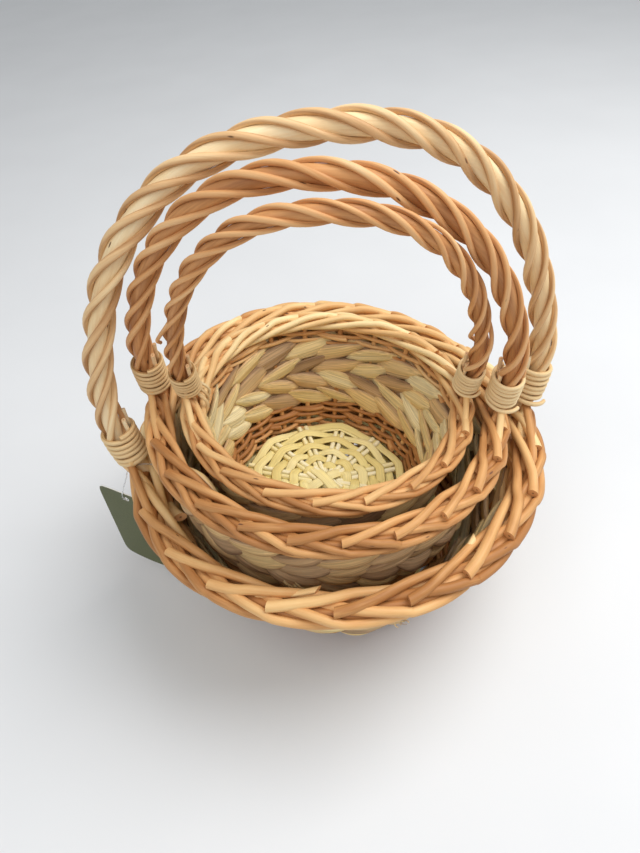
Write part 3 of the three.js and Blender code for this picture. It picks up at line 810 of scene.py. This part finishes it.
def bow_line(basket):
    """Places along the bow from its right foot to its left, how far along they are, and the way across."""
    drawn = basket.half_span - basket.rim_radius
    half_border = basket.border_height / 2
    corners = [(basket.half_span - drawn * (1 + half_border / FOOT_RISE) ** 2, -half_border)]
    for i in range(BOW_POINTS + 1):
        angle = math.pi * i / BOW_POINTS
        rise = basket.rise * abs(math.sin(angle)) ** (2 / basket.squareness)
        span = basket.half_span * abs(math.cos(angle)) ** (2 / basket.squareness)
        span -= drawn * max(1 - rise / FOOT_RISE, 0) ** 2
        corners.append((math.copysign(span, math.cos(angle)), rise))
    corners.append((-corners[0][0], corners[0][1]))
    x, rise = np.array(corners).T
    lean, sway = math.radians(basket.lean), math.radians(basket.sway)
    rightward = np.array([1.0, 0, 0])
    up = np.array([math.sin(sway), math.sin(lean), math.cos(lean)])
    across = np.cross(up, rightward)
    across /= np.linalg.norm(across)
    line = smooth(x[:, None] * rightward + rise[:, None] * up + (0, 0, basket.middle), 12)
    run = run_along(line)
    return SimpleNamespace(line=line, run=run, length=run[-1], across=across)


def beside_bow(basket, distance, radius, angle, shift=0.0):
    """Places at distances along the bow, and the direction in which they lie from its middle."""
    bow = basket.bow_line
    distance = np.clip(distance, 0, bow.length)
    slopes = np.gradient(bow.line, axis=0)
    place, ahead = (np.stack([np.interp(distance, bow.run, values[:, i]) for i in range(3)], -1)
                    for values in (bow.line, slopes))
    inward = np.cross(ahead, bow.across)
    inward /= np.linalg.norm(inward, axis=-1, keepdims=True)
    angle = np.asarray(angle)[..., None]
    out = inward * np.cos(angle) + bow.across * np.sin(angle)
    return place + out * np.asarray(radius)[..., None] + inward * np.asarray(shift)[..., None], out


def from_foot(basket, climbed, end):
    """Distances along the bow, from distances climbed from its right foot for end 1 or its left for -1."""
    return climbed if end > 0 else basket.bow_line.length - climbed


for basket in BASKETS:
    basket.bow_line = bow_line(basket)
    basket.bundle = basket.bow / 2 + ROD_CLEARANCE + basket.rod
    print(f"{basket.name} bow: {basket.bow_line.length:.0f} mm of rod")

# %% [markdown]
# Bow and winding rods
#
# Four thinner rods are wound round the bow like a rope. They never lie quite evenly: the gaps between
# them open and close, and above the right foot of the two inner handles two of them part before they go
# under the cane. The rods are strands whose radius from the bow and angle round it wander a little
# along the way.

# %% Handle bows and rods
RODS = 4
ROD_LIFT = 7
CORE_FILL = 1.3
WANDER = 0.09
PARTED_AT, PARTED_LENGTH = 42, 20
# The rods' sides are darkened: painted shade where they press on the bow and on each other.
ROD_SINK, ROD_WIDE, ROD_DEEP, ROD_EDGE_SHADE = 0.72, 1.12, 0.9, 0.45


def handle_bow(basket):
    weave = Weave()
    distance = np.linspace(0, basket.bow_line.length, 90)
    line, out = beside_bow(basket, distance, 0.0, 0.0)
    thick = basket.bow / 2 * CORE_FILL * (1 + 0.03 * np.sin(distance / 17))
    weave.strand(line, out, thick, thick, basket.core_tone, sides=16)
    make_piece(weave, basket, "bow", basket.handle_willow, "handle_bow")


def winding_rod(basket, number):
    """One of the rods that wind round the bow."""
    weave = Weave()
    start = basket.border_height + ROD_LIFT
    run = basket.bow_line.length - 2 * start
    along = np.linspace(0, run, int(run / 2.2))
    waves = [rng.uniform(0.3, 1) * np.sin(along / rng.uniform(25, 70) + rng.uniform(0, 6)) for _ in range(3)]
    angle = 2 * np.pi * ((number - 1) / RODS - along / basket.lay) + WANDER * sum(waves)
    thick = basket.rod / 2 * (1 + 0.08 * np.sin(along / 40 + number - 1))
    parted = basket.parting * np.exp(-((along - PARTED_AT) / PARTED_LENGTH) ** 2) * ((number - 1) % 2)
    loose = 0.15 * (1 + np.sin(along / 31 + 2 * (number - 1)))
    radius = basket.bow / 2 * CORE_FILL + thick * ROD_SINK + loose + parted
    line, out = beside_bow(basket, start + along, radius, angle)
    tone = rng.uniform(*basket.rod_tones)
    weave.strand(line, out, thick * ROD_WIDE, thick * ROD_DEEP, tone, sides=12, edge=ROD_EDGE_SHADE)
    make_piece(weave, basket, f"winding_rod_{number}", basket.handle_willow, f"handle_rod_{number}")


# %% [markdown]
# The fans at the handle's feet
#
# Below the cane, the rods' ends fan out and are pushed down between the rods of the border. Each is
# given by how far along the border it goes, how far out, and on which side of the bow it is tied.

# %% Handle feet
BINDING_LIFT = 10
FAN = ((-1.0, 2.0, 1), (-0.45, -3.0, 1), (0.3, 3.5, 0), (0.9, -1.5, 0))
FAN_REACH, FAN_TURN, FAN_DIVE = 1.15, 1.4, 12
FAN_THICKNESS = 0.88


def handle_feet(basket):
    """Rod ends that leave the cane and spread into the border."""
    weave = Weave()
    start = basket.border_height + BINDING_LIFT
    for end in (1, -1):
        for spread, out, far_side in FAN:
            azimuth = (0 if end > 0 else 180) + end * spread * FAN_REACH * basket.spacing
            distance = from_foot(basket, np.array([start + 7.0, start - 1.0]), end)
            angle = end * spread * FAN_TURN + np.pi * far_side
            tied, _ = beside_bow(basket, distance, basket.bow / 2 + basket.rod / 2 + 0.6, angle)
            top = polar(basket.rim_radius + out, azimuth, basket.middle + basket.border_height * 0.2)
            deep = polar(basket.rim_radius + out * 0.3, azimuth + end * spread * FAN_DIVE,
                         basket.middle - basket.border_height * 0.45)
            line = smooth(np.vstack([tied, top, deep]), 8)
            thick = basket.border_rod * FAN_THICKNESS / 2
            weave.strand(line, polar(1.0, azimuth, 0.2), thick, thick, rng.uniform(0, 0.8))
    make_piece(weave, basket, "handle_feet", "buff_willow")


for basket in BASKETS:
    handle_bow(basket)
    for number in range(1, RODS + 1):
        winding_rod(basket, number)
    handle_feet(basket)

# %% [markdown]
# Cane bindings and pegs
#
# At each foot the roped rods are tied together with six turns of cane, drawn tight. A stack of rings
# would be simpler, but real cane runs on, so the binding is one unbroken helix, whose lower end stands a
# little away. Two cut stake ends are caught inside the turns and stand up beside the bow. Each is a
# short strand that shows its cut face.

# %% Bindings
CANE_TURNS = 6
CANE_TAIL = 0.07
CANE_TIGHT, CANE_LOOSE = 0.83, 0.3
# Each turn is darkened at both edges: painted shade in the grooves between the turns.
CANE_WIDE, CANE_DEEP, CANE_EDGE_SHADE = 0.44, 0.46, 0.7
BINDING_CLEARANCE = 0.6


def binding_shape(basket):
    """How far the binding's middle is moved inwards, its radius, its start along the bow and its height."""
    shift = (basket.peg + PIECE_CLEARANCE) / 2
    radius = basket.bundle + shift + BINDING_CLEARANCE + basket.cane / 2
    return shift, radius, basket.border_height + BINDING_LIFT, basket.cane_pitch * CANE_TURNS


def binding(basket, side_name, end):
    shift, radius, start, height = binding_shape(basket)
    share = np.linspace(-CANE_TAIL, 1 + CANE_TAIL / 2, 36 * CANE_TURNS)
    turns = end * 2 * np.pi * CANE_TURNS * share
    below, beyond = np.clip(-share / CANE_TAIL, 0, 1), np.clip((share - 1) / CANE_TAIL, 0, 1)
    flare = radius * (CANE_TIGHT + CANE_LOOSE * (below**2 + 0.5 * beyond**2))
    uneven = 0.45 * np.sin(turns * 0.37 + 1) * np.sin(turns)
    distance = from_foot(basket, start + height * share, end) + uneven
    line, out = beside_bow(basket, distance, flare, turns, shift)
    weave = Weave()
    weave.strand(line, out, basket.cane_pitch * CANE_WIDE, basket.cane * CANE_DEEP, rng.uniform(0, 0.7),
                 sides=12, edge=CANE_EDGE_SHADE)
    make_piece(weave, basket, f"cane_{side_name}", "cane", f"binding_{side_name}")


# %% Pegs
PEG_SPREAD = 22
PEG_STANDOUT = 15
PEG_STAGGER = 4
PEG_LIFT = 0.5
PEG_TONE = -0.35
PEG_SLANT = 0.3


def peg(basket, side_name, end, face):
    """A cut stake end beside the bow, behind it for face 1 or in front of it for -1."""
    _, _, start, height = binding_shape(basket)
    standout = PEG_STANDOUT if face > 0 else PEG_STANDOUT - PEG_STAGGER
    distance = from_foot(basket, start + np.linspace(0, height + standout, 10), end)
    angle = face * math.radians(PEG_SPREAD)
    line, out = beside_bow(basket, distance, basket.bundle + PEG_LIFT, angle)
    place = f"{side_name}_{'back' if face > 0 else 'front'}"
    weave = Weave()
    thick = basket.peg / 2
    weave.strand(line, out, thick, thick, PEG_TONE, sides=12, slants=(0, PEG_SLANT * face))
    make_piece(weave, basket, f"peg_end_{place}", basket.handle_willow, f"peg_{place}")


for basket in BASKETS:
    for side_name, end in (("right", 1), ("left", -1)):
        binding(basket, side_name, end)
        for face in (1, -1):
            peg(basket, side_name, end, face)

# %% [markdown]
# Loose ends
#
# Hand work is never quite tidy. A strap of cane runs from the small basket's left binding over its
# border, one rod of the small handle ends in a hook, a cut stalk looks out from under the large border,
# the slanting tips of two rods lie along its inner edge, a leaf curls out inside the medium basket, and
# the leaf is frayed in two places. Unless its function says otherwise, a path is written as azimuth,
# distance out from the wall, and height.

# %% Strap and hook
STRAP = [(0, 3, 2, 15), (0.5, 4, -6, 11), (1, 5, -11, 4), (2, 5, -8, -6)]
HOOK = [(104, -2.0, 0.9), (96, -0.4, 0.6), (88, 1.2, 0.3), (81, 2.6, 0.1), (77, 0.8, -0.1)]


def strap():
    """Three turns of cane from the small left binding over the border to its inner face.

    A row of STRAP is a turn on past the binding, a turn for each further strand, and the places out
    and up from the middle of the border.
    """
    weave = Weave()
    for strand in (-1, 0, 1):
        keys = [polar(small.rim_radius + out, 180 + on + strand * apart, small.middle + up)
                for on, apart, out, up in STRAP]
        weave.strand(smooth(keys, 6), UP, 1.5, 1.0, rng.uniform(0, 1))
    make_piece(weave, small, "cane_strap", "cane")


def hook():
    """The end of a rod that stands away from the small handle.

    A row of HOOK is a distance from the left foot, a distance out and a turn in radians.
    """
    climbed, away, turn = np.array(HOOK).T
    distance = from_foot(small, climbed, -1)
    line, out = beside_bow(small, distance, small.bundle + away, np.pi + turn)
    line = smooth(line, 5)
    weave = Weave()
    weave.strand(line, np.repeat(out, 5, axis=0)[:len(line)], 1.3, 1.2, 0.4)
    make_piece(weave, small, "rod_hook", "brown_willow")


strap()
hook()

# %% Stalk, rod tips and curled leaf
STALK = [(190, -4, 120), (195.5, -9, 126.5), (201, -14.5, 132.5)]
TIPS = (256, 303.5)
TIP_PATH = [(-16, -2, 2.0), (-8, -6, 3.8), (0, -11, 5.4)]
CURL = [(209, -6, 92), (214, -9, 98), (220, -12, 104), (225, -13, 105), (230, -12, 100), (234, -7, 93)]


def stalk():
    azimuth, out, height = smooth(STALK, 6).T
    weave = Weave()
    line = polar(wall_radius(large, height) + out, azimuth, height)
    weave.strand(line, UP, 4.2, 3.2, -0.2, sides=16, slants=(0, 0.6))
    make_piece(weave, large, "cut_stalk", "buff_willow")


def rod_tips():
    """The slanting cut tips of two border rods. TIP_PATH is measured from the middle of the border."""
    weave = Weave()
    for azimuth in TIPS:
        turn, out, up = smooth(TIP_PATH, 6).T
        line = polar(large.rim_radius + out, azimuth + turn, large.middle + up)
        weave.strand(line, UP, 2.2, np.linspace(2.4, 1.6, len(line)), 0.1, sides=12, slants=(0, 1.1))
    make_piece(weave, large, "rod_tips", "buff_willow")


def curled_leaf():
    azimuth, out, height = smooth(CURL, 5).T
    weave = Weave()
    line = polar(wall_radius(medium, height) + out, azimuth, height)
    wide = 4.6 * np.sin(np.linspace(0.25, 2.9, len(line)))
    outward = -polar(1.0, azimuth, -0.8)
    weave.strand(line, outward, wide, 1.5, 0.35, section=folded_section(), edge=BLADE_EDGE_SHADE)
    make_piece(weave, medium, "curled_leaf", "dried_leaf")


stalk()
rod_tips()
curled_leaf()

# %% Frayed leaf
FRAY_STEP = (1.0, 0.35, -0.75)
FRAY_SCATTER = (0.6, 0.25, 0.35)
FRAY_STEPS = 4
FRAYS = (
    dict(basket=medium, azimuth=257, out=4, height=52, fibres=9, length=14),
    dict(basket=large, azimuth=274, out=8, height=118, fibres=9, length=10),
)


def frayed(basket, azimuth, out, height, fibres, length):
    """A tuft of torn leaf fibres that hangs from the wall."""
    weave = Weave()
    for _ in range(fibres):
        steps = rng.normal(FRAY_STEP, FRAY_SCATTER, (FRAY_STEPS, 3))
        places = np.vstack([(0, -4, 0), np.cumsum(steps, axis=0) * length / FRAY_STEPS])
        line = smooth(places, 5)
        turn = azimuth + np.degrees(line[:, 0] / basket.rim_radius)
        line = polar(wall_radius(basket, height) + out + line[:, 1], turn, height + line[:, 2])
        thin = np.linspace(0.9, 0.3, len(line))
        weave.strand(line, polar(1.0, azimuth, 0.0), thin, 0.3 * thin, rng.uniform(0, 0.9), sides=6)
    make_piece(weave, basket, "frayed_leaf", "dried_leaf")


for fray in FRAYS:
    frayed(**fray)

# %% [markdown]
# The hang tag
#
# A card hangs outside the large basket on a loop of clear nylon. The card is a thin plate with rounded
# corners and a punched hole, slightly bowed, as card soon is. It is made as rings from the hole out to
# the edge, so that it can bend smoothly, with a white band where it was cut.

# %% Card
TAG_WIDTH, TAG_HEIGHT, TAG_THICKNESS = 55, 88, 0.8
TAG_HOLE, TAG_HOLE_DROP = 2.2, 6
TAG_AZIMUTH, TAG_OUT, TAG_DROP, TAG_TURN = 187.5, 7.6, 21, -30
TAG_BOW = 1.6
TAG_RINGS, TAG_AROUND = 14, 96
CORNER_POWER = 12

tag = SimpleNamespace(name="tag", place=np.eye(4))


def card_rings():
    """Rings of points from the hole to the card's edge, as places across and down from the hole."""
    turn = np.linspace(0, 2 * np.pi, TAG_AROUND, endpoint=False)
    circle = np.stack([np.cos(turn), np.sin(turn)], -1)
    reach = (np.abs(circle) ** CORNER_POWER).sum(-1, keepdims=True) ** (-1 / CORNER_POWER)
    edge = circle * reach * (TAG_WIDTH / 2, TAG_HEIGHT / 2) - (0, TAG_HEIGHT / 2 - TAG_HOLE_DROP)
    hole = circle * TAG_HOLE
    return hole + (edge - hole) * np.linspace(0, 1, TAG_RINGS)[:, None, None]


def card():
    flat = card_rings().reshape(-1, 2)
    hang = large.middle - TAG_DROP
    hole = polar(large.rim_radius + large.border_width / 2 + TAG_OUT, TAG_AZIMUTH, hang)
    across, through = turned("z", TAG_TURN)[:3, :2].T
    bowed = TAG_BOW * ((flat[:, 0] / TAG_WIDTH * 2) ** 2 - 1) * np.clip(-flat[:, 1] / TAG_HEIGHT, 0, 1)
    middle = hole + flat[:, :1] * across + flat[:, 1:] * UP + bowed[:, None] * through
    half = TAG_THICKNESS / 2 * through
    place = np.column_stack([flat, 0 * bowed])
    weave = Weave()
    for side in (1, -1):
        weave.add(middle + side * half, place, 0, 0, ring_faces(TAG_RINGS, TAG_AROUND)[:, ::side])
    for ring, order in ((0, 1), (TAG_RINGS - 1, -1)):
        here = slice(ring * TAG_AROUND, (ring + 1) * TAG_AROUND)
        weave.add(np.vstack([middle[here] - half, middle[here] + half]), np.vstack([place[here]] * 2),
                  0, 1, ring_faces(2, TAG_AROUND)[:, ::order])
    make_piece(weave, tag, "card_green", "tag_card", "card")


card()

# %% Loop
LOOP_THICKNESS = 1
LOOP_SLACK = 1.2
LOOP_START = (-176, -150, -120, -95, -75)
LOOP_END = (10, 35, 65, 95, 125, 152, 176)


def loop():
    """The nylon, round the border and through the card's hole, in a plane through the basket's axis."""
    radius = large.border_width / 2 + PIECE_CLEARANCE + LOOP_THICKNESS / 2 + LOOP_SLACK
    hole = large.border_width / 2 + TAG_OUT
    strand = TAG_THICKNESS + LOOP_THICKNESS + PIECE_CLEARANCE
    start, end = (polar(radius, np.array(angles), 0)[:, :2] for angles in (LOOP_START, LOOP_END))
    hung = [(hole - strand, -TAG_DROP), (hole, -TAG_DROP - TAG_HOLE / 3), (hole + strand, -TAG_DROP),
            (hole + strand, -TAG_DROP + TAG_HOLE_DROP)]
    out, up = smooth(np.vstack([start, hung, end]), 6).T
    line = polar(large.rim_radius + out, TAG_AZIMUTH, large.middle + up)
    thick = LOOP_THICKNESS / 2
    weave = Weave()
    weave.strand(line, polar(1.0, TAG_AZIMUTH + 90, 0.0), thick, thick, 0.5)
    make_piece(weave, tag, "loop_clear", "tag_nylon", "loop")


loop()

# %% [markdown]
# Floor, light and background
#
# The baskets stand on a plain pale floor that runs past the edges of the picture. The light is that of
# an overcast window: one broad soft lamp above, to the right, a weaker one above and in front, to the
# left, and an even pale sky. All of it is given in metres. The view transform is the plain one, so that
# a surface renders about as its colour is written.

# %% Floor
FLOOR_SIZE = 8
FLOOR_GREYS = [(0.3, "#DFE0E1"), (0.7, "#E2E3E4")]

bpy.ops.mesh.primitive_plane_add(size=FLOOR_SIZE)
ground = bpy.context.object
ground.name = "studio_floor"
tree = new_material("floor", "pale_floor")
dust = step(tree, "TexNoise", {"Vector": step(tree, "NewGeometry", {}), "Scale": 6.0, "Detail": 2.0})
surface(tree, {"Base Color": ramp(tree, FLOOR_GREYS, dust), "Roughness": 0.8})
ground.data.materials.append(MATERIALS["floor"])
print("floor:", FLOOR_SIZE, "m wide")

# %% Light
LIT_HEIGHT = 0.12
SKY_COLOUR, SKY_STRENGTH = "#EEF1F4", 0.52
LAMPS = (
    ("ceiling", (0.8, 0.1, 1.55), 1.2, 24),
    ("front_fill", (-0.5, -1.0, 1.5), 1.4, 9),
)
for name, place, size, power in LAMPS:
    x, y, z = np.array(place) - (0, 0, LIT_HEIGHT)
    swivel, tilt = math.degrees(math.atan2(x, -y)), math.degrees(math.atan2(math.hypot(x, y), z))
    stand = shifted(*place) @ turned("z", swivel) @ turned("x", tilt)
    lamp = add_object(name, bpy.data.lights.new(name, "AREA"), stand)
    lamp.data.size = size
    lamp.data.energy = power
    print(f"{name}: {power} W, {size} m wide")

world = bpy.data.worlds.new("pale_sky")
bpy.context.scene.world = world
world.use_nodes = True
world.node_tree.nodes["Background"].inputs["Color"].default_value = linear(SKY_COLOUR)
world.node_tree.nodes["Background"].inputs["Strength"].default_value = SKY_STRENGTH
bpy.context.scene.view_settings.view_transform = "Standard"
